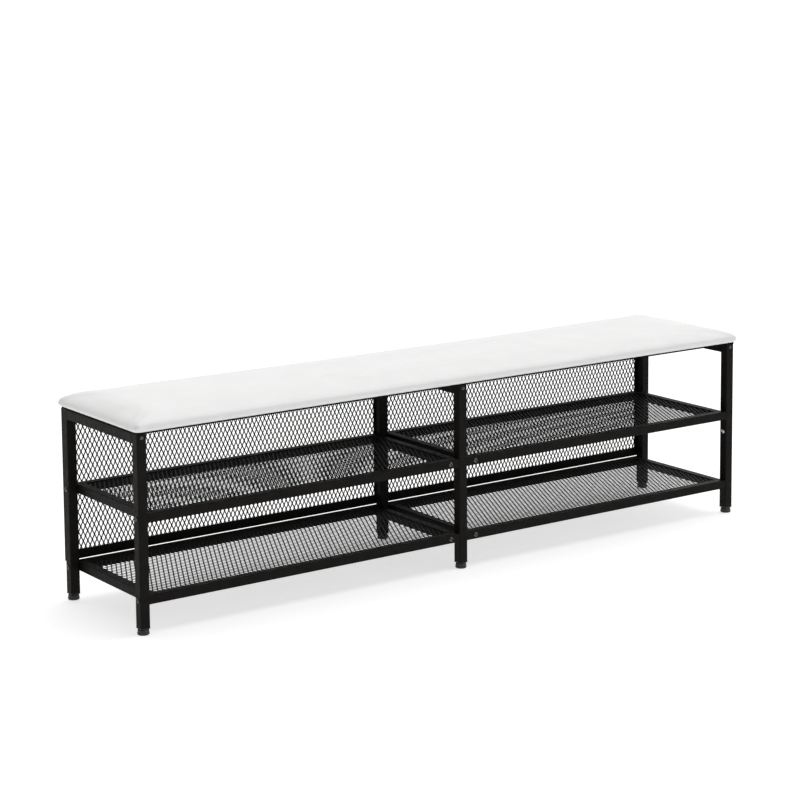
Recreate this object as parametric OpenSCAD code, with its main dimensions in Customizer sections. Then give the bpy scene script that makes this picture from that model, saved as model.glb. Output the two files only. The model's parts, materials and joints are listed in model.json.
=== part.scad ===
// Entryway bench with two open shoe shelves, a padded seat and six levelling feet.
// Millimetres, +Z up, front towards -Y, origin on the floor under the middle.

/* [Part to draw] */
// One node by name, or all of them

/* [Frame] */
// Length over the outer faces of the posts
frame_l = 1500; // [1200:10:1800]
// Depth over the outer faces of the posts
frame_d = 300; // [260:5:400]
// Side of the square post tube
post_w = 20; // [16:1:30]
// Wall of the post and crossbar tube
post_wall = 1.5; // [1:0.1:2.5]
// Outer corner radius of the post and crossbar tube
post_r = 2; // [0.5:0.1:4]
// Height of the open lower end of the posts
post_z0 = 13; // [10:0.5:30]
// Height of the top of the posts
post_z1 = 382; // [340:1:460]

/* [Shelves] */
// Side of the square rail tube
rail_w = 18; // [15:1:25]
// Wall of the rail tube
rail_wall = 1.2; // [0.8:0.1:2]
// Outer corner radius of the rail tube
rail_r = 1.6; // [0.5:0.1:4]
// Underside of the lower shelf rails
low_z = 57; // [40:1:100]
// Underside of the upper shelf rails
mid_z = 212.5; // [160:0.5:260]
// How far the rail faces stand back from the post faces
rail_back = 0.5; // [0:0.1:3]
// Thickness of the plate that stands for the expanded metal
mesh_t = 0.6; // [0.4:0.1:2]
// Depth of the mesh below the top of its rails
mesh_drop = 1.5; // [0:0.1:6]

/* [Back panel] */
// Width of the flat bars along the top and bottom
bar_w = 18.5; // [12:0.5:30]
// Thickness of the flat bars
bar_t = 3; // [2:0.5:5]
// Width of the upright flat bars
stile_w = 25; // [18:1:40]
// Underside of the back panel
back_z0 = 76; // [70:0.5:100]

/* [Seat] */
// Thickness of the black underlay board
underlay_t = 4; // [2:0.5:6]
// Thickness of the plywood inside the pad
board_t = 12; // [9:1:18]
// Height of the pad above its underlay
pad_h = 34; // [25:1:60]
// How far the pad bulges past the posts
pad_over = 8; // [0:1:20]
// Thickness of the upholstery cover
cover_t = 1.5; // [1:0.1:3]

/* [Feet] */
// Radius of the foot pad
foot_r = 11.5; // [9:0.5:20]
// Height of the foot pad
foot_h = 10; // [6:0.5:16]
// Radius of the threaded stud
stud_r = 3.92; // [2.9:0.01:5]
// Radial clearance of the stud in the insert and pad
stud_fit = 0.08; // [0.02:0.01:0.1]

/* [Fasteners] */
// Radius of the bolt shanks
bolt_r = 3; // [2:0.5:4]
// Radius of the bolt heads
bolt_head_r = 5; // [4:0.5:8]
// Distance from post face to the bolts in the front rails beside the middle post
mid_bolt_x = 21.5; // [15:0.5:30]
// Distance from post face to the bolts in the rear rails, put in from inside
rear_bolt_x = 24; // [23:0.5:30]
// Radius of the screw shanks
screw_r = 2; // [1.5:0.5:3]
// Radius of the screw heads
screw_head_r = 3.8; // [3:0.1:6]

/* [Hidden] */
$fn = 48;
e = 0.01;
hx = frame_l / 2;
hy = frame_d / 2;
px = hx - post_w / 2;
py = hy - post_w / 2;
post_h = post_z1 - post_z0;
ry = hy - rail_back - rail_w / 2;
bay_x0 = post_w / 2;
bay_x1 = hx - post_w;
bay_l = bay_x1 - bay_x0;
bay_c = (bay_x0 + bay_x1) / 2;
end_l = 2 * (ry - rail_w / 2);
mesh_l = bay_l - 2 * rail_w;
cross_l = frame_d - 2 * post_w;
cross_z = post_z1 - post_w;
back_y = hy;
back_h = post_z1 - back_z0;
back_c = (back_z0 + post_z1) / 2;
seat_z = post_z1 + underlay_t;
hole_gap = 0.1;
insert_flange = 1.5;
insert_h = 18;
screw_z = post_z1 - 7;
low_c = low_z + rail_w / 2;
mid_c = mid_z + rail_w / 2;
spigot_w = rail_w - 2 * rail_wall - 0.6;
spigot_l = 44;
function tie_bolt_x(side) = side < 0 ? mid_bolt_x : rear_bolt_x;
steel = [0.09, 0.09, 0.095];
zinc = [0.75, 0.76, 0.78];
pvc = [0.05, 0.05, 0.05];

// Shared shapes ------------------------------------------------------------

module box(x, y, z0, dx, dy, dz) {
  translate([x - dx / 2, y - dy / 2, z0])
    cube([dx, dy, dz]);
}

// Square bar with rounded long edges, from z = 0 up to l.
module rounded_bar(w, r, l) {
  box(0, 0, 0, w, w - 2 * r, l);
  box(0, 0, 0, w - 2 * r, w, l);
  for (x = [r - w / 2, w / 2 - r])
    for (y = [r - w / 2, w / 2 - r])
      translate([x, y, 0])
        cylinder(r = r, h = l);
}

module bar_x(r, x, y, z, l) {
  translate([x - l / 2, y, z])
    rotate([0, 90, 0])
      cylinder(r = r, h = l);
}

module bar_y(r, x, y, z, l) {
  translate([x, y + l / 2, z])
    rotate([90, 0, 0])
      cylinder(r = r, h = l);
}

// Upright square tube, open at both ends. side is +1 or -1 for an outer post, 0 for a middle one.
module post(x, y, side) {
  color(steel)
    difference() {
      translate([x, y, post_z0])
        rounded_bar(post_w, post_r, post_h);
      box(x, y, post_z0 - 1, post_w - 2 * post_wall, post_w - 2 * post_wall, post_h + 2);
      bar_y(screw_r + hole_gap, x, y, screw_z, post_w + 2);
      if (y > 0)
        for (z = [back_z0 + bar_w / 2, back_c])
          bar_y(screw_r + hole_gap, x, y + post_w / 2, z, post_w);
      if (side != 0)
        for (z = [low_c, mid_c])
          bar_x(bolt_r + hole_gap, x, y, z, post_w + 2);
      if (side != 0 && y < 0)
        bar_x(bolt_r + hole_gap, x - side * post_w / 2, y, mid_z - 27.5, post_w);
    }
}

// Square tube from front to rear under the seat, with drilled end plates.
module crossbar(x) {
  color(steel)
    difference() {
      translate([x, -cross_l / 2, cross_z + post_w / 2])
        rotate([-90, 0, 0])
          rounded_bar(post_w, post_r, cross_l);
      box(x, 0, cross_z + post_wall, post_w - 2 * post_wall, cross_l - 6, post_w - 2 * post_wall);
      bar_y(screw_r + hole_gap, x, 0, screw_z, cross_l + 2);
      for (y = [-80, 80])
        translate([x, y, cross_z - 1])
          cylinder(r = screw_r + hole_gap, h = post_w + 2);
    }
}

// Long rail of a shelf. The end at the middle post is open for its spigot.
module rail_long(side, y, z) {
  color(steel)
    difference() {
      translate([side * bay_c - bay_l / 2, y, z + rail_w / 2])
        rotate([0, 90, 0])
          rounded_bar(rail_w, rail_r, bay_l);
      box(side * (bay_c - 3), y, z + rail_wall, bay_l, rail_w - 2 * rail_wall, rail_w - 2 * rail_wall);
      bar_x(bolt_r + hole_gap, side * bay_x1, sign(y) * py, z + rail_w / 2, 12);
      bar_y(bolt_r + hole_gap, side * (bay_x0 + tie_bolt_x(y)), y - rail_w / 2, z + rail_w / 2, 9);
    }
}

// Short rail between the two long rails, closed at its ends by them.
module rail_end(x, z) {
  color(steel)
    difference() {
      translate([x, -end_l / 2, z + rail_w / 2])
        rotate([-90, 0, 0])
          rounded_bar(rail_w, rail_r, end_l);
      box(x, 0, z + rail_wall, rail_w - 2 * rail_wall, end_l + 2, rail_w - 2 * rail_wall);
    }
}

// Flat plate that stands for one sheet of expanded metal.
module shelf_mesh(side, z) {
  color(steel)
    box(side * bay_c, 0, z + rail_w - mesh_drop - mesh_t, mesh_l, end_l, mesh_t);
}

module flat_bar(x, z0, dx, dz) {
  color(steel)
    difference() {
      box(x, back_y + bar_t / 2, z0, dx, bar_t, dz);
      for (z = [back_z0 + bar_w / 2, back_c, screw_z])
        for (sx = [-px, 0, px])
          bar_y(screw_r + hole_gap, sx, back_y + bar_t / 2, z, bar_t + 2);
    }
}

module back_mesh(side) {
  w = hx - 1.5 * stile_w;
  c = side * (stile_w / 2 + w / 2);
  color(steel)
    box(c, back_y + bar_t / 2, back_z0 + bar_w, w, mesh_t, back_h - 2 * bar_w);
}

// One level of the crowned pad: h above its underside, grown past the frame, shrunk by s.
module pad_slab(h, grow, r, s) {
  drop = s * max(0, min(1, (h - 8) / 15));
  translate([0, 0, seat_z + h * pad_h / 35 - drop - (h > 0 ? e : 0)])
    linear_extrude(e)
      offset(r = r)
        square([frame_l + 2 * (grow - s - r), frame_d + 2 * (grow - s - r)], center = true);
}

module pad_shape(s) {
  hull() {
    pad_slab(0, 1, 4, s);
    pad_slab(3, pad_over - 2.5, 6, s);
    pad_slab(8, pad_over, 8, s);
    pad_slab(13, pad_over - 0.5, 8, s);
    pad_slab(18, pad_over - 3.5, 8, s);
    pad_slab(22, pad_over - 9, 9, s);
    pad_slab(26, -11, 10, s);
    pad_slab(30, -28, 12, s);
    pad_slab(33, -55, 14, s);
    pad_slab(35, -100, 14, s);
  }
}

// Button-head bolt with a hex socket. It points along +Z, its head outside z = 0.
module bolt(l) {
  difference() {
    union() {
      translate([0, 0, -2.6])
        cylinder(r1 = bolt_head_r - 1.8, r2 = bolt_head_r, h = 1.8);
      translate([0, 0, -0.8])
        cylinder(r = bolt_head_r, h = 0.8);
      cylinder(r = bolt_r, h = l);
    }
    translate([0, 0, -3])
      cylinder(r = 2.2, h = 2, $fn = 6);
  }
}

// Pan-head screw with a cross recess, pointing along +Z.
module screw(l) {
  difference() {
    union() {
      translate([0, 0, -1.8])
        cylinder(r1 = screw_head_r - 1, r2 = screw_head_r, h = 1.3);
      translate([0, 0, -0.5])
        cylinder(r = screw_head_r, h = 0.5);
      cylinder(r = screw_r, h = l);
    }
    for (a = [0, 90])
      rotate([0, 0, a])
        translate([-0.4, -2, -2])
          cube([0.8, 4, 1]);
  }
}

module insert(x, y) {
  difference() {
    union() {
      box(x, y, post_z0 - insert_flange, post_w - 0.6, post_w - 0.6, insert_flange);
      box(x, y, post_z0, post_w - 2 * post_wall - 0.1, post_w - 2 * post_wall - 0.1, insert_h);
    }
    translate([x, y, post_z0 - insert_flange - 1])
      cylinder(r = stud_r + stud_fit, h = insert_h + insert_flange + 2);
  }
}

module stud(x, y) {
  color(zinc)
    translate([x, y, 2.5])
      cylinder(r = stud_r, h = 33);
}

// Foot pad, slightly waisted, with a blind socket for the stud.
module pad(x, y) {
  color(pvc)
    translate([x, y, 0])
      rotate_extrude()
        polygon([
          [0, 0],
          [foot_r - 1, 0],
          [foot_r, 1],
          [foot_r, 4.5],
          [foot_r - 0.6, 5.2],
          [foot_r - 0.6, foot_h - 1],
          [foot_r - 1.6, foot_h],
          [stud_r + stud_fit, foot_h],
          [stud_r + stud_fit, 2.2],
          [0, 2.2]
        ]);
}

module end_bolt(side, y, z) {
  translate([side * hx, y, z])
    rotate([0, -side * 90, 0])
      bolt(28);
}

// Nodes ---------------------------------------------------------------------

module post_front_left() post(-px, -py, -1);
module post_front_mid() post(0, -py, 0);
module post_front_right() post(px, -py, 1);
module post_rear_left() post(-px, py, -1);
module post_rear_mid() post(0, py, 0);
module post_rear_right() post(px, py, 1);

module crossbar_left() crossbar(-px);
module crossbar_mid() crossbar(0);
module crossbar_right() crossbar(px);

module low_left_front() rail_long(-1, -ry, low_z);
module low_left_rear() rail_long(-1, ry, low_z);
module low_left_outer() rail_end(-bay_x1 + rail_w / 2, low_z);
module low_left_inner() rail_end(-bay_x0 - rail_w / 2, low_z);
module low_right_front() rail_long(1, -ry, low_z);
module low_right_rear() rail_long(1, ry, low_z);
module low_right_inner() rail_end(bay_x0 + rail_w / 2, low_z);
module low_right_outer() rail_end(bay_x1 - rail_w / 2, low_z);
module mid_left_front() rail_long(-1, -ry, mid_z);
module mid_left_rear() rail_long(-1, ry, mid_z);
module mid_left_outer() rail_end(-bay_x1 + rail_w / 2, mid_z);
module mid_left_inner() rail_end(-bay_x0 - rail_w / 2, mid_z);
module mid_right_front() rail_long(1, -ry, mid_z);
module mid_right_rear() rail_long(1, ry, mid_z);
module mid_right_inner() rail_end(bay_x0 + rail_w / 2, mid_z);
module mid_right_outer() rail_end(bay_x1 - rail_w / 2, mid_z);

module low_left_mesh() shelf_mesh(-1, low_z);
module low_right_mesh() shelf_mesh(1, low_z);
module mid_left_mesh() shelf_mesh(-1, mid_z);
module mid_right_mesh() shelf_mesh(1, mid_z);

module back_top() flat_bar(0, post_z1 - bar_w, frame_l, bar_w);
module back_bottom() flat_bar(0, back_z0, frame_l, bar_w);
module back_stile_left() flat_bar(-hx + stile_w / 2, back_z0 + bar_w, stile_w, back_h - 2 * bar_w);
module back_stile_mid() flat_bar(0, back_z0 + bar_w, stile_w, back_h - 2 * bar_w);
module back_stile_right() flat_bar(hx - stile_w / 2, back_z0 + bar_w, stile_w, back_h - 2 * bar_w);
module back_mesh_left() back_mesh(-1);
module back_mesh_right() back_mesh(1);

module seat_underlay() {
  color(pvc)
    difference() {
      box(0, 0, post_z1, frame_l, frame_d, underlay_t);
      for (x = [-px, 0, px])
        for (y = [-80, 80])
          translate([x, y, post_z1 - 1])
            cylinder(r = screw_r + hole_gap, h = underlay_t + 2);
    }
}

module seat_board() {
  color([0.75, 0.6, 0.4])
    difference() {
      box(0, 0, seat_z, frame_l - 8, frame_d - 8, board_t);
      for (x = [-px, 0, px])
        for (y = [-80, 80])
          translate([x, y, seat_z - 1])
            cylinder(r = screw_r + hole_gap, h = 9.5);
    }
}

module seat_foam() {
  color([0.9, 0.87, 0.75])
    difference() {
      pad_shape(cover_t + 0.4);
      box(0, 0, seat_z - 1, frame_l + 60, frame_d + 60, board_t + 1.3);
    }
}

module seat_cover() {
  color([0.93, 0.93, 0.92])
    difference() {
      pad_shape(0);
      translate([0, 0, -2 * e])
        pad_shape(cover_t);
    }
}

module leg_inserts() {
  color(pvc)
    for (x = [-px, 0, px])
      for (y = [-py, py])
        insert(x, y);
}

module mid_spigots() {
  color(steel)
    difference() {
      for (s = [-1, 1])
        for (y = [-ry, ry])
          for (z = [low_c, mid_c])
            box(s * (bay_x0 + spigot_l / 2), y, z - spigot_w / 2, spigot_l, spigot_w, spigot_w);
      for (s = [-1, 1])
        for (f = [-1, 1])
          for (z = [low_c, mid_c])
            bar_y(bolt_r + hole_gap, s * (bay_x0 + tie_bolt_x(f)), f * ry - spigot_w / 2, z, 2 * spigot_w);
    }
}

module end_bolts() {
  color(steel)
    for (s = [-1, 1])
      for (y = [-py, py])
        for (z = [low_c, mid_c])
          end_bolt(s, y, z);
}

module mid_bolts() {
  color(steel)
    for (s = [-1, 1])
      for (f = [-1, 1])
        for (z = [low_c, mid_c])
          translate([s * (bay_x0 + tie_bolt_x(f)), f * ry - rail_w / 2, z])
            rotate([-90, 0, 0])
              bolt(9);
}

module spare_bolts() {
  color(zinc)
    for (s = [-1, 1])
      translate([s * (hx - post_w), -py, mid_z - 27.5])
        rotate([0, s * 90, 0])
          bolt(10);
}

module crossbar_screws() {
  color(zinc)
    for (x = [-px, 0, px])
      translate([x, -hy, screw_z])
        rotate([-90, 0, 0])
          screw(30);
}

module back_screws() {
  color(zinc)
    for (x = [-px, 0, px])
      for (z = [back_z0 + bar_w / 2, back_c, screw_z])
        translate([x, hy + bar_t, z])
          rotate([90, 0, 0])
            screw(z == screw_z ? 33 : 12);
}

module seat_screws() {
  color(zinc)
    for (x = [-px, 0, px])
      for (y = [-80, 80])
        translate([x, y, cross_z])
          screw(post_w + underlay_t + 8);
}

module stud_front_left() stud(-px, -py);
module stud_front_mid() stud(0, -py);
module stud_front_right() stud(px, -py);
module stud_rear_left() stud(-px, py);
module stud_rear_mid() stud(0, py);
module stud_rear_right() stud(px, py);
module pad_front_left() pad(-px, -py);
module pad_front_mid() pad(0, -py);
module pad_front_right() pad(px, -py);
module pad_rear_left() pad(-px, py);
module pad_rear_mid() pad(0, py);
module pad_rear_right() pad(px, py);

post_front_left();
post_front_mid();
post_front_right();
post_rear_left();
post_rear_mid();
post_rear_right();
crossbar_left();
crossbar_mid();
crossbar_right();
low_left_front();
low_left_rear();
low_left_outer();
low_left_inner();
low_right_front();
low_right_rear();
low_right_inner();
low_right_outer();
mid_left_front();
mid_left_rear();
mid_left_outer();
mid_left_inner();
mid_right_front();
mid_right_rear();
mid_right_inner();
mid_right_outer();
low_left_mesh();
low_right_mesh();
mid_left_mesh();
mid_right_mesh();
back_top();
back_bottom();
back_stile_left();
back_stile_mid();
back_stile_right();
back_mesh_left();
back_mesh_right();
seat_underlay();
seat_board();
seat_foam();
seat_cover();
leg_inserts();
mid_spigots();
end_bolts();
mid_bolts();
spare_bolts();
crossbar_screws();
back_screws();
seat_screws();
stud_front_left();
stud_front_mid();
stud_front_right();
stud_rear_left();
stud_rear_mid();
stud_rear_right();
pad_front_left();
pad_front_mid();
pad_front_right();
pad_rear_left();
pad_rear_mid();
pad_rear_right();
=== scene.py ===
"""Looks for the entryway bench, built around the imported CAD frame. Metres, front towards -Y."""

import json
import math

import bmesh
import bpy
import numpy as np
from mathutils import Matrix, Vector


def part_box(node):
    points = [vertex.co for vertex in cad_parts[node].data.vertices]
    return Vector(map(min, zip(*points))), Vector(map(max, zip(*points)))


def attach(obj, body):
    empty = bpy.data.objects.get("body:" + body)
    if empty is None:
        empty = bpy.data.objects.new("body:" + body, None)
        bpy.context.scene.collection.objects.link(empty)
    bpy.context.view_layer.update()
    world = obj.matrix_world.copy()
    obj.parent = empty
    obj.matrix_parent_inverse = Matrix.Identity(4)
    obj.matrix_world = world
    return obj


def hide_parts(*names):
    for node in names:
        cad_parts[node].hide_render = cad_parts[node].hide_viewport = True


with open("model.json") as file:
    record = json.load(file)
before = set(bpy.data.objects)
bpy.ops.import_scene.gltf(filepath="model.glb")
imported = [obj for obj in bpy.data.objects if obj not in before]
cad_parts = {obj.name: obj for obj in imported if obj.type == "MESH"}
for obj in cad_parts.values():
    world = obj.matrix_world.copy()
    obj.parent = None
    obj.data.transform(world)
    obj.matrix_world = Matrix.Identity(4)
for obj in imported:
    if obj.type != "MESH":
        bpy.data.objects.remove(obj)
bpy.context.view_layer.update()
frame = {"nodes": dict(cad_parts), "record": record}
NODES = frame["nodes"]
MM = 0.001


# ---------------------------------------------------------------- node helpers


def material(name):
    """A new material with its Principled shader wired up: (material, tree, shader)."""
    made = bpy.data.materials.new(name)
    made.use_nodes = True
    tree = made.node_tree
    tree.nodes.clear()
    out = tree.nodes.new("ShaderNodeOutputMaterial")
    shader = tree.nodes.new("ShaderNodeBsdfPrincipled")
    tree.links.new(shader.outputs["BSDF"], out.inputs["Surface"])
    return made, tree, shader


def place(tree, stretch=(1.0, 1.0, 1.0)):
    """Object coordinates in metres, stretched along each axis."""
    coord = tree.nodes.new("ShaderNodeTexCoord")
    mapping = tree.nodes.new("ShaderNodeMapping")
    mapping.inputs["Scale"].default_value = stretch
    tree.links.new(coord.outputs["Object"], mapping.inputs["Vector"])
    return mapping.outputs["Vector"]


def noise(tree, at, size_mm, detail=2.0, rough=0.5):
    """Noise whose features are about size_mm across."""
    node = tree.nodes.new("ShaderNodeTexNoise")
    node.inputs["Scale"].default_value = 1.0 / (size_mm * MM)
    node.inputs["Detail"].default_value = detail
    node.inputs["Roughness"].default_value = rough
    tree.links.new(at, node.inputs["Vector"])
    return node.outputs["Fac"]


def cell_edges(tree, at, size_mm):
    """Voronoi distance to the nearest cell edge, with cells about size_mm across."""
    node = tree.nodes.new("ShaderNodeTexVoronoi")
    node.feature = "DISTANCE_TO_EDGE"
    node.inputs["Scale"].default_value = 1.0 / (size_mm * MM)
    tree.links.new(at, node.inputs["Vector"])
    return node.outputs["Distance"]


def spread(tree, value, low, high, start=0.3, end=0.7):
    """Maps start..end of a value to low..high."""
    node = tree.nodes.new("ShaderNodeMapRange")
    node.inputs["From Min"].default_value = start
    node.inputs["From Max"].default_value = end
    node.inputs["To Min"].default_value = low
    node.inputs["To Max"].default_value = high
    tree.links.new(value, node.inputs["Value"])
    return node.outputs["Result"]


def shades(tree, value, *stops):
    """Colour ramp from (position, rgb) stops."""
    node = tree.nodes.new("ShaderNodeValToRGB")
    ramp = node.color_ramp
    for i, (position, rgb) in enumerate(stops):
        stop = ramp.elements[i] if i < 2 else ramp.elements.new(position)
        stop.position = position
        stop.color = (*rgb, 1.0)
    tree.links.new(value, node.inputs["Fac"])
    return node.outputs["Color"]


def add(tree, first, second, amount=1.0):
    """first + second * amount."""
    node = tree.nodes.new("ShaderNodeMath")
    node.operation = "MULTIPLY_ADD"
    tree.links.new(second, node.inputs[0])
    node.inputs[1].default_value = amount
    tree.links.new(first, node.inputs[2])
    return node.outputs["Value"]


def relief(tree, shader, *layers):
    """Stacks bump layers of (height, depth in mm, strength) on the shader."""
    normal = None
    for height, depth_mm, strength in layers:
        node = tree.nodes.new("ShaderNodeBump")
        node.inputs["Distance"].default_value = depth_mm * MM
        node.inputs["Strength"].default_value = strength
        tree.links.new(height, node.inputs["Height"])
        if normal is not None:
            tree.links.new(normal, node.inputs["Normal"])
        normal = node.outputs["Normal"]
    tree.links.new(normal, shader.inputs["Normal"])


def grey(value, warm=0.0):
    return (value * (1.0 + warm), value, value * (1.0 - warm))


# ------------------------------------------------------------------- materials


def powder_coat(name, dark, light, rough, peel_mm, gloss):
    """Black powder coat: faint mottling, orange peel and fine grit."""
    made, tree, shader = material(name)
    at = place(tree)
    mottle = noise(tree, at, 22, 4.0, 0.6)
    grit = noise(tree, at, 0.9, 2.0)
    tone = add(tree, mottle, grit, 0.35)
    tree.links.new(shades(tree, tone, (0.45, dark), (0.95, light)), shader.inputs["Base Color"])
    tree.links.new(spread(tree, noise(tree, at, 9, 3.0), *rough), shader.inputs["Roughness"])
    relief(
        tree, shader,
        (noise(tree, at, peel_mm, 2.0), 0.09, 0.55),
        (grit, 0.03, 0.5),
    )
    shader.inputs["Specular IOR Level"].default_value = gloss
    return made


def zinc_plate():
    made, tree, shader = material("bright_zinc")
    at = place(tree)
    cloud = noise(tree, at, 4, 3.0)
    tint = shades(tree, cloud, (0.3, (0.52, 0.53, 0.55)), (0.75, (0.80, 0.81, 0.82)))
    tree.links.new(tint, shader.inputs["Base Color"])
    tree.links.new(spread(tree, noise(tree, at, 1.5, 3.0), 0.18, 0.38), shader.inputs["Roughness"])
    relief(tree, shader, (noise(tree, at, 0.5, 2.0), 0.02, 0.5))
    shader.inputs["Metallic"].default_value = 1.0
    return made


def black_oxide():
    made, tree, shader = material("black_oxide")
    at = place(tree)
    cloud = noise(tree, at, 2.5, 3.0)
    tint = shades(tree, cloud, (0.3, grey(0.05)), (0.8, grey(0.14)))
    tree.links.new(tint, shader.inputs["Base Color"])
    tree.links.new(spread(tree, noise(tree, at, 1.0, 2.0), 0.20, 0.38), shader.inputs["Roughness"])
    relief(tree, shader, (noise(tree, at, 0.6, 2.0), 0.02, 0.5))
    shader.inputs["Metallic"].default_value = 0.9
    return made


def moulded_plastic(name, tone):
    made, tree, shader = material(name)
    at = place(tree)
    spark = noise(tree, at, 0.45, 3.0)
    cloud = noise(tree, at, 6, 3.0)
    tint = shades(tree, cloud, (0.3, grey(tone * 0.8)), (0.8, grey(tone * 1.3)))
    tree.links.new(tint, shader.inputs["Base Color"])
    tree.links.new(spread(tree, spark, 0.48, 0.68), shader.inputs["Roughness"])
    relief(tree, shader, (spark, 0.04, 0.6), (noise(tree, at, 3.5, 2.0), 0.05, 0.3))
    return made


def hardboard():
    """Black fibreboard with short fibres lying every way."""
    made, tree, shader = material("black_hardboard")
    along = noise(tree, place(tree, (0.25, 1.0, 1.0)), 1.1, 4.0, 0.7)
    across = noise(tree, place(tree, (1.0, 0.3, 1.0)), 1.3, 4.0, 0.7)
    fibre = add(tree, along, across, 0.6)
    tint = shades(tree, fibre, (0.55, grey(0.0015)), (1.05, grey(0.0055, 0.05)))
    tree.links.new(tint, shader.inputs["Base Color"])
    tree.links.new(spread(tree, across, 0.7, 0.9), shader.inputs["Roughness"])
    relief(tree, shader, (fibre, 0.12, 0.6))
    shader.inputs["Specular IOR Level"].default_value = 0.06
    return made


def plywood():
    """Grain along the bench on the faces, plies on the edges."""
    made, tree, shader = material("plywood")
    grain = noise(tree, place(tree, (0.05, 1.0, 1.0)), 3.0, 6.0, 0.65)
    plies = tree.nodes.new("ShaderNodeTexWave")
    plies.bands_direction = "Z"
    plies.inputs["Scale"].default_value = 105.0
    plies.inputs["Distortion"].default_value = 0.6
    tree.links.new(place(tree), plies.inputs["Vector"])
    tone = add(tree, grain, plies.outputs["Fac"], 0.25)
    tint = shades(
        tree, tone,
        (0.35, (0.42, 0.28, 0.15)), (0.6, (0.60, 0.44, 0.27)), (0.9, (0.72, 0.57, 0.38)),
    )
    tree.links.new(tint, shader.inputs["Base Color"])
    tree.links.new(spread(tree, grain, 0.55, 0.8), shader.inputs["Roughness"])
    relief(tree, shader, (grain, 0.15, 0.5))
    return made


def coated_leather():
    """White coated upholstery: pebble grain, pores and a faint cloudy tone."""
    made, tree, shader = material("white_coated_leather")
    at = place(tree)
    pebble = cell_edges(tree, at, 1.5)
    fine = noise(tree, at, 0.7, 3.0, 0.6)
    cloud = noise(tree, at, 70, 3.0, 0.55)
    tone = add(tree, cloud, fine, 0.25)
    tree.links.new(
        shades(tree, tone, (0.35, (0.750, 0.746, 0.743)), (0.9, (0.795, 0.791, 0.788))),
        shader.inputs["Base Color"],
    )
    gloss = add(tree, noise(tree, at, 12, 3.0), fine, 0.5)
    tree.links.new(spread(tree, gloss, 0.40, 0.56, 0.5, 1.0), shader.inputs["Roughness"])
    crease = spread(tree, pebble, 0.0, 1.0, 0.0, 0.22)
    relief(
        tree, shader,
        (noise(tree, at, 16, 3.0), 0.25, 0.30),
        (crease, 0.10, 0.45),
        (fine, 0.05, 0.40),
    )
    shader.inputs["Specular IOR Level"].default_value = 0.45
    return made


COAT_ROUGH = (0.42, 0.58)
FRAME_STEEL = powder_coat(
    "black_powder_coat", grey(0.0048, 0.12), grey(0.0095, 0.12), COAT_ROUGH, peel_mm=1.7, gloss=0.06
)
MESH_STEEL = powder_coat(
    "black_powder_coat_mesh", grey(0.0042, 0.10), grey(0.0090, 0.10), COAT_ROUGH, peel_mm=1.1, gloss=0.08
)
ZINC = zinc_plate()
OXIDE = black_oxide()
NYLON = moulded_plastic("black_nylon", 0.010)
FOOT = moulded_plastic("black_foot_plastic", 0.013)
BOARD = hardboard()
PLY = plywood()
LEATHER = coated_leather()

SLOT_MATERIAL = {
    "frame_steel": FRAME_STEEL,
    "mesh_steel": MESH_STEEL,
    "black_bolt": OXIDE,
    "zinc": ZINC,
    "nylon": NYLON,
    "foot_plastic": FOOT,
    "underlay": BOARD,
    "plywood": PLY,
    "foam": PLY,
    "leather": LEATHER,
}
SLOT_OF = {part["node"]: part["material_slot"] for part in frame["record"]["subparts"]}
for node_name, node in NODES.items():
    if not node.material_slots:
        node.data.materials.append(None)
    for socket in node.material_slots:
        socket.material = SLOT_MATERIAL[SLOT_OF[node_name]]


# ---------------------------------------------------------------- mesh helpers


def piece(name, verts, faces, finish, body=None):
    """A new mesh object from vertices in metres, riding on a body if one is given."""
    mesh = bpy.data.meshes.new(name)
    mesh.from_pydata([tuple(v) for v in verts], [], faces)
    mesh.validate()
    mesh.update()
    mesh.materials.append(finish)
    made = bpy.data.objects.new(name, mesh)
    bpy.context.scene.collection.objects.link(made)
    if body:
        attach(made, body)
    return made


# -------------------------------------------------------------- expanded metal

DIAMOND_LONG = 20 * MM
DIAMOND_SHORT = 10 * MM
STRAND_W = 2.45 * MM
STRAND_T = 1.15 * MM
# how much of its width a strand shares with its neighbour at a bond
BOND_OVERLAP = 0.18
STRAND_TILT = math.radians(-9)
BOND = 1.6 * MM
# shortest strand end left at a sheet's edge
STUB = 0.2 * MM
# how far a shelf sheet sinks below its CAD plate's middle
SHELF_SINK = 0.6 * MM


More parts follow.
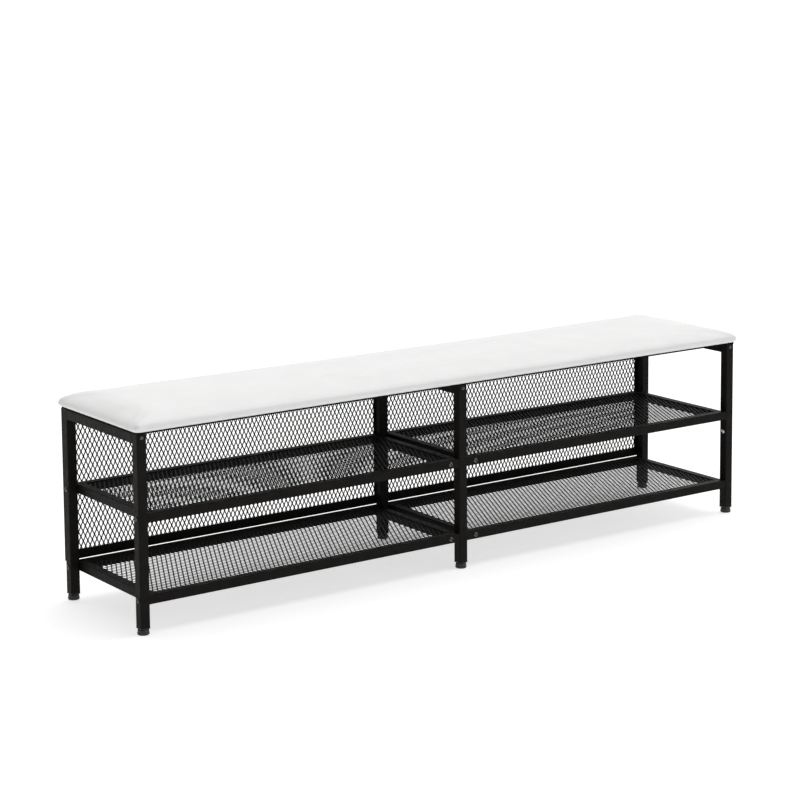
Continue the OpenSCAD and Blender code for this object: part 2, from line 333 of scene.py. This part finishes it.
def expanded_metal(width, length):
    """Zigzag strands that overlap at their bonds, each a closed shell tilted out of the sheet."""
    count = round(width / (DIAMOND_SHORT / 2))
    pitch = width / count
    half = DIAMOND_LONG / 2
    swing = pitch / 2 - STRAND_W * math.cos(STRAND_TILT) * BOND_OVERLAP
    wide = np.array([math.cos(STRAND_TILT), math.sin(STRAND_TILT)]) * STRAND_W / 2
    thick = np.array([-math.sin(STRAND_TILT), math.cos(STRAND_TILT)]) * STRAND_T / 2
    section = [wide + thick, -wide + thick, -wide - thick, wide - thick]
    steps = int(length / half / 2) + 1
    stations = []
    for i in range(-steps, steps + 1):
        side = 1 if i % 2 else -1
        stations += [(i * half - BOND / 2, side), (i * half + BOND / 2, side)]

    def side_at(v):
        for (v0, s0), (v1, s1) in zip(stations, stations[1:]):
            if v0 <= v <= v1:
                return s0 + (s1 - s0) * (v - v0) / (v1 - v0)
        return stations[-1][1]

    inner = [s for s in stations if abs(s[0]) < length / 2 - STUB]
    path = [(-length / 2, side_at(-length / 2)), *inner, (length / 2, side_at(length / 2))]
    verts, faces = [], []
    for k in range(count):
        centre = -width / 2 + (k + 0.5) * pitch
        flip = 1 if k % 2 else -1
        start = len(verts)
        for v, side in path:
            for du, dn in section:
                verts.append((centre + flip * side * swing + du, v, dn))
        for i in range(len(path) - 1):
            a = start + 4 * i
            for j in range(4):
                n = (j + 1) % 4
                faces.append((a + j, a + 4 + j, a + 4 + n, a + n))
        faces.append(tuple(start + j for j in (0, 1, 2, 3)))
        last = start + 4 * (len(path) - 1)
        faces.append(tuple(last + j for j in (3, 2, 1, 0)))
    return verts, faces


def mesh_sheet(node_name, shared):
    """Puts expanded metal where a flat CAD plate stands."""
    lo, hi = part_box(node_name)
    size, mid = hi - lo, (lo + hi) / 2
    upright = size.y < size.z
    length = size.z if upright else size.y
    key = (round(size.x, 4), round(length, 4))
    name = node_name.replace("mesh", "expanded_metal")
    if key not in shared:
        verts, faces = expanded_metal(size.x, length)
        made = piece(name, verts, faces, MESH_STEEL)
        shared[key] = made.data
    else:
        made = bpy.data.objects.new(name, shared[key])
        bpy.context.scene.collection.objects.link(made)
    turn = Matrix.Rotation(math.radians(90), 4, "X") if upright else Matrix.Identity(4)
    drop = 0.0 if upright else -SHELF_SINK
    made.matrix_world = Matrix.Translation(mid + Vector((0, 0, drop))) @ turn
    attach(made, "frame")
    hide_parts(node_name)


shared_sheets = {}
for sheet_node in (
    "low_left_mesh", "low_right_mesh", "mid_left_mesh", "mid_right_mesh",
    "back_mesh_left", "back_mesh_right",
):
    mesh_sheet(sheet_node, shared_sheets)


# --------------------------------------------------------------------- cushion

# height above the underlay, growth past the frame outline, corner radius (mm)
PAD_LEVELS = (
    (0.0, 2, 4), (2.5, 6.2, 6), (6.0, 8, 8), (11.0, 7.8, 8), (16.0, 5.5, 8),
    (21.0, 0, 9), (26.0, -11, 10), (30.0, -28, 12), (33.0, -55, 14), (35.0, -100, 14),
)
PAD_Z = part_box("seat_cover")[0].z
PAD_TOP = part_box("seat_cover")[1].z
PAD_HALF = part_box("seat_cover")[1].xy
FRAME_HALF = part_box("seat_underlay")[1].xy
BOARD_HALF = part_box("seat_board")[1]
PAD_SCALE = (PAD_TOP - PAD_Z) / (PAD_LEVELS[-1][0] * MM)
# the pad before inflation: narrower by SLACK, lower, with corners rounder by CORNER_EASE (mm)
SLACK = 1.0 * MM
START_HEIGHT = 0.97
CORNER_EASE = 4
VOXEL = 6 * MM
PRESSURE = 4.0
CLOTH_FRAMES = 20
# the furthest that a point may move, and the share of that move that the foam holds back
PUFF = 6.0 * MM
FIRMNESS = 0.5


def rounded_ring(half_x, half_y, radius, z, per_corner=10):
    """Points round a rounded rectangle, anticlockwise."""
    points = []
    for cx, cy, start in ((1, 1, 0), (-1, 1, 90), (-1, -1, 180), (1, -1, 270)):
        for i in range(per_corner + 1):
            a = math.radians(start + 90 * i / per_corner)
            x = cx * (half_x - radius) + radius * math.cos(a)
            y = cy * (half_y - radius) + radius * math.sin(a)
            points.append((x, y, z))
    return points


def pad_start():
    """The pad before it is inflated: the crowned outline, a little low and narrow."""
    rings = []
    for height, grow, radius in PAD_LEVELS:
        g = grow * MM - SLACK
        z = PAD_Z + height * START_HEIGHT * PAD_SCALE * MM
        rings.append(rounded_ring(FRAME_HALF.x + g, FRAME_HALF.y + g, (radius + CORNER_EASE) * MM, z))
    verts = [p for ring in rings for p in ring]
    n = len(rings[0])
    faces = []
    for level in range(len(rings) - 1):
        for i in range(n):
            j = (i + 1) % n
            a = level * n
            faces.append((a + i, a + j, a + n + j, a + n + i))
    faces.append(tuple(range(n - 1, -1, -1)))
    faces.append(tuple((len(rings) - 1) * n + i for i in range(n)))
    return verts, faces


def remeshed(verts, faces):
    """The pad as an even voxel mesh."""
    source = piece("seat_cushion", verts, faces, LEATHER)
    source.data.remesh_voxel_size = VOXEL
    bpy.context.view_layer.objects.active = source
    source.select_set(True)
    bpy.ops.object.voxel_remesh()
    source.select_set(False)
    return source


def points_of(mesh):
    flat = np.empty(len(mesh.vertices) * 3, dtype=np.float32)
    mesh.vertices.foreach_get("co", flat)
    return flat.reshape(-1, 3).astype(float)


def put_points(mesh, points):
    mesh.vertices.foreach_set("co", points.astype(np.float32).ravel())
    mesh.update()


def inflate(pad):
    """Points of the pad after cloth with pressure, its underside held and each move capped."""
    rest = points_of(pad.data)
    held = pad.vertex_groups.new(name="held")
    held.add([i for i, co in enumerate(rest) if co[2] < PAD_Z + 1.5 * MM], 1.0, "REPLACE")
    cloth = pad.modifiers.new("pad_cloth", "CLOTH")
    setup = cloth.settings
    setup.quality = 4
    setup.mass = 0.25
    setup.tension_stiffness = 18
    setup.compression_stiffness = 18
    setup.shear_stiffness = 8
    setup.bending_stiffness = 1.5
    setup.use_pressure = True
    setup.uniform_pressure_force = PRESSURE
    setup.vertex_group_mass = "held"
    setup.effector_weights.gravity = 0.0
    scene = bpy.context.scene
    for number in range(1, CLOTH_FRAMES + 1):
        scene.frame_set(number)
    shown = pad.evaluated_get(bpy.context.evaluated_depsgraph_get())
    shift = points_of(shown.to_mesh()) - rest
    shown.to_mesh_clear()
    pad.modifiers.remove(cloth)
    scene.frame_set(1)
    size = np.linalg.norm(shift, axis=1)
    kept = PUFF * np.tanh(size / PUFF) / np.maximum(size, 1e-9)
    return rest + (1.0 - FIRMNESS) * shift * kept[:, None]


def fitted(points):
    """Scaled to the size of the CAD cover."""
    rise = points[:, 2].max() - PAD_Z
    points[:, 2] = PAD_Z + (points[:, 2] - PAD_Z) * (PAD_TOP - PAD_Z) / rise
    for axis in (0, 1):
        points[:, axis] *= PAD_HALF[axis] / abs(points[:, axis]).max()
    return points


def smoothed(pad):
    """One round of subdivision, kept."""
    smooth = pad.modifiers.new("smooth", "SUBSURF")
    smooth.levels = smooth.render_levels = 1
    shown = pad.evaluated_get(bpy.context.evaluated_depsgraph_get())
    fine = bpy.data.meshes.new_from_object(shown)
    pad.modifiers.remove(smooth)
    pad.vertex_groups.clear()
    pad.data = fine
    fine.name = "seat_cushion"
    fine.materials.clear()
    fine.materials.append(LEATHER)


# corner radius used to measure round the pad's edge
EDGE_ROUND = 12 * MM
PUCKER_SEED = 11
# how far up the side the puckers may reach
PUCKER_REACH = 26 * MM


def round_the_side(points):
    """For each point: distance along the pad's edge, outward direction and reach past the core."""
    flat = np.array([PAD_HALF.x - EDGE_ROUND, PAD_HALF.y - EDGE_ROUND])
    core = np.clip(points[:, :2], -flat, flat)
    out = points[:, :2] - core
    reach = np.linalg.norm(out, axis=1)
    way = out / np.maximum(reach, 1e-9)[:, None]
    turn = np.arctan2(way[:, 1], way[:, 0]) % (2 * math.pi)
    a, b = flat
    limits = [1e-6] + [math.pi * t for t in (0.4999, 0.5001, 0.9999, 1.0001, 1.4999, 1.5001)]
    sides = (
        core[:, 1] + b,
        np.full(len(points), 2 * b),
        2 * b + a - core[:, 0],
        np.full(len(points), 2 * b + 2 * a),
        3 * b + 2 * a - core[:, 1],
        np.full(len(points), 4 * b + 2 * a),
        4 * b + 3 * a + core[:, 0],
    )
    along = np.select([turn < limit for limit in limits], sides, 4 * b + 4 * a)
    return along + EDGE_ROUND * turn, way, reach


def creases(girth, corners):
    """(spot, depth, width, rise, lean) of each pucker; depth, width and rise in mm."""
    ranges = ((0.5, 1.6), (3.0, 5.0), (8, 18), (-0.5, 0.5))
    rng = np.random.default_rng(PUCKER_SEED)
    made = []
    at = rng.uniform(0, 20) * MM
    while at < girth:
        made.append((at, *(rng.uniform(lo, hi) for lo, hi in ranges)))
        at += rng.uniform(16, 34) * MM
    for corner in corners:
        for offset in (-11, -3.5, 4, 12):
            spot = corner + (offset + rng.uniform(-1.5, 1.5)) * MM
            pleat = (rng.uniform(lo, hi) for lo, hi in ((1.0, 1.7), (2.6, 3.6), (14, 22)))
            made.append((spot, *pleat, -offset * 0.02))
    return made


def puckered(points):
    """Presses the puckers and corner pleats into the lower side of the pad."""
    along, way, reach = round_the_side(points)
    a, b = PAD_HALF.x - EDGE_ROUND, PAD_HALF.y - EDGE_ROUND
    arc = EDGE_ROUND * math.pi / 2
    girth = 4 * (a + b + arc)
    corners = (
        2 * b + arc / 2,
        2 * b + 2 * a + arc * 1.5,
        4 * b + 2 * a + arc * 2.5,
        4 * b + 4 * a + arc * 3.5,
    )
    height = points[:, 2] - PAD_Z
    near = (height < PUCKER_REACH) & (reach > 1 * MM)
    push = np.zeros(len(points))
    for spot, depth, width, rise, lean in creases(girth, corners):
        gap = (along - spot - lean * height + girth / 2) % girth - girth / 2
        groove = np.exp(-((gap / (width * MM)) ** 2))
        shoulder = 0.35 * np.exp(-((gap / (2.4 * width * MM)) ** 2))
        dent = groove - shoulder
        fade = np.clip(1.0 - height / (rise * MM), 0.0, 1.0) ** 1.3
        push += depth * MM * dent * fade
    push *= near
    points[:, :2] -= way * push[:, None]
    return points


def open_underside(mesh):
    """Cuts the underside flat and opens a pocket in it for the plywood board."""
    form = bmesh.new()
    form.from_mesh(mesh)
    cut = PAD_Z + 0.5 * MM
    everything = form.verts[:] + form.edges[:] + form.faces[:]
    bmesh.ops.bisect_plane(
        form, geom=everything, plane_co=(0, 0, cut), plane_no=(0, 0, 1), clear_inner=True
    )
    roof = BOARD_HALF.z + 0.3 * MM
    pocket = (BOARD_HALF.x + 0.5 * MM, BOARD_HALF.y + 0.5 * MM)
    rim = [e for e in form.edges if e.is_boundary]
    widest = [max(abs(v.co[axis]) for e in rim for v in e.verts) for axis in (0, 1)]
    for z, inward in ((PAD_Z, False), (PAD_Z, True), (roof, False)):
        made = bmesh.ops.extrude_edge_only(form, edges=rim)["geom"]
        rim = [g for g in made if isinstance(g, bmesh.types.BMEdge)]
        for v in {v for e in rim for v in e.verts}:
            v.co.z = z
            if inward:
                v.co.x *= pocket[0] / widest[0]
                v.co.y *= pocket[1] / widest[1]
    lid = bmesh.ops.contextual_create(form, geom=rim)["faces"]
    bmesh.ops.recalc_face_normals(form, faces=form.faces[:])
    for face in form.faces:
        face.smooth = True
    for face in lid:
        face.smooth = False
    form.to_mesh(mesh)
    form.free()


def build_cushion():
    pad = remeshed(*pad_start())
    points = inflate(pad)
    put_points(pad.data, fitted(points))
    smoothed(pad)
    put_points(pad.data, puckered(fitted(points_of(pad.data))))
    open_underside(pad.data)
    return pad


cushion = build_cushion()
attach(cushion, "frame")
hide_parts("seat_cover", "seat_foam")


# ----------------------------------------------------------------------- studs

THREAD_PITCH = 1.25 * MM
THREAD_DEPTH = 0.62 * MM
CHAMFER = 1.2 * MM


def threaded_stud(lo, hi):
    """Solid rod with a helical thread, chamfered at both ends."""
    around, per_turn = 28, 6
    centre = (lo + hi) / 2
    crest = (hi.x - lo.x) / 2
    rows = int((hi.z - lo.z) / THREAD_PITCH * per_turn)
    verts, faces = [], []
    for r in range(rows + 1):
        z = lo.z + (hi.z - lo.z) * r / rows
        taper = max(0.0, CHAMFER - min(z - lo.z, hi.z - z))
        for k in range(around):
            phase = ((z - lo.z) / THREAD_PITCH - k / around) % 1.0
            rise = 1.0 - abs(2 * phase - 1.0)
            radius = crest - THREAD_DEPTH * (1.0 - min(1.0, rise * 1.25)) - taper * 0.8
            a = 2 * math.pi * k / around
            verts.append((centre.x + radius * math.cos(a), centre.y + radius * math.sin(a), z))
    for r in range(rows):
        for k in range(around):
            n = (k + 1) % around
            row, above = r * around, (r + 1) * around
            faces.append((row + k, row + n, above + n, above + k))
    faces.append(tuple(range(around - 1, -1, -1)))
    faces.append(tuple(rows * around + k for k in range(around)))
    return verts, faces


for node_name in sorted(NODES):
    if node_name.startswith("stud_"):
        verts, faces = threaded_stud(*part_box(node_name))
        stud = piece(node_name.replace("stud", "threaded_stud"), verts, faces, ZINC, body=node_name)
        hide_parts(node_name)


# ---------------------------------------------------------- floor, light, view


FLOOR_GLOW = 0.66
FLOOR_HALF = 60.0
# the floor lies this far under the feet, clear of the pads' tops when they are fully out
FLOOR_GAP = 0.5 * MM


def white_floor():
    """A pale floor, partly self-lit so that it shows white under the shelves."""
    made, tree, shader = material("pale_floor")
    at = place(tree)
    cloud = noise(tree, at, 900, 2.0)
    tint = shades(tree, cloud, (0.3, grey(0.50)), (0.7, grey(0.53)))
    tree.links.new(tint, shader.inputs["Base Color"])
    shader.inputs["Roughness"].default_value = 0.9
    shader.inputs["Specular IOR Level"].default_value = 0.1
    shader.inputs["Emission Color"].default_value = (1.0, 1.0, 1.0, 1.0)
    shader.inputs["Emission Strength"].default_value = FLOOR_GLOW
    half, low = FLOOR_HALF, -FLOOR_GAP
    verts = [(-half, -half, low), (half, -half, low), (half, half, low), (-half, half, low)]
    piece("floor", verts, [(0, 1, 2, 3)], made)


def soft_sun(name, source, angle, strength):
    """Even light from one direction, as soft as its angle is wide."""
    lamp = bpy.data.lights.new(name, "SUN")
    lamp.energy = strength
    lamp.angle = math.radians(angle)
    made = bpy.data.objects.new(name, lamp)
    bpy.context.scene.collection.objects.link(made)
    made.rotation_mode = "QUATERNION"
    made.rotation_quaternion = Vector(source).to_track_quat("Z", "Y")


SKY_NEAR = 0.12
SKY_FAR = 1.05
KEY_FROM = (0.48, 0.06, 1.22)
KEY_ANGLE = 60
KEY_STRENGTH = 1.50
LENS_MM = 102.407
SENSOR_MM = 36.0
LENS_SHIFT = -0.23
YAW_PITCH_ROLL = (35.347, 7.292, -0.454)
CAMERA_AT = (-2.7224, -3.7723, 1.3079)


def soft_sky():
    """A white sky with a bright horizon, dimmer overhead on the near left side of the bench."""
    world = bpy.data.worlds.new("studio")
    world.use_nodes = True
    tree = world.node_tree
    coord = tree.nodes.new("ShaderNodeTexCoord")
    parts = tree.nodes.new("ShaderNodeSeparateXYZ")
    tree.links.new(coord.outputs["Generated"], parts.inputs["Vector"])
    depth = add(tree, parts.outputs["Y"], parts.outputs["X"], 1.2)
    overhead = spread(tree, depth, SKY_NEAR, SKY_FAR, -1.3, 0.85)
    horizon = spread(tree, parts.outputs["Z"], SKY_FAR, 0.0, 0.06, 0.22)
    brighter = tree.nodes.new("ShaderNodeMath")
    brighter.operation = "MAXIMUM"
    tree.links.new(overhead, brighter.inputs[0])
    tree.links.new(horizon, brighter.inputs[1])
    tree.links.new(brighter.outputs["Value"], tree.nodes["Background"].inputs["Strength"])
    tree.nodes["Background"].inputs["Color"].default_value = (1.0, 1.0, 1.0, 1.0)
    return world


def studio():
    white_floor()
    bpy.context.scene.world = soft_sky()
    soft_sun("key", KEY_FROM, KEY_ANGLE, KEY_STRENGTH)


def camera():
    """The photograph's view: tilted down a little, with the lens shifted for the rest."""
    data = bpy.data.cameras.new("view")
    data.lens = LENS_MM
    data.sensor_width = SENSOR_MM
    data.shift_y = LENS_SHIFT
    data.clip_end = 200.0
    made = bpy.data.objects.new("view", data)
    bpy.context.scene.collection.objects.link(made)
    yaw, pitch, roll = (math.radians(a) for a in YAW_PITCH_ROLL)
    level = math.cos(pitch)
    ahead = Vector((math.sin(yaw) * level, math.cos(yaw) * level, -math.sin(pitch)))
    right = Vector((math.cos(yaw), -math.sin(yaw), 0))
    up = right.cross(ahead)
    side = right * math.cos(roll) + up * math.sin(roll)
    top = up * math.cos(roll) - right * math.sin(roll)
    turn = Matrix((side, top, -ahead)).transposed()
    made.rotation_mode = "QUATERNION"
    made.rotation_quaternion = turn.to_quaternion()
    made.location = CAMERA_AT
    bpy.context.scene.camera = made


studio()
camera()
bpy.context.scene.view_settings.view_transform = "Standard"
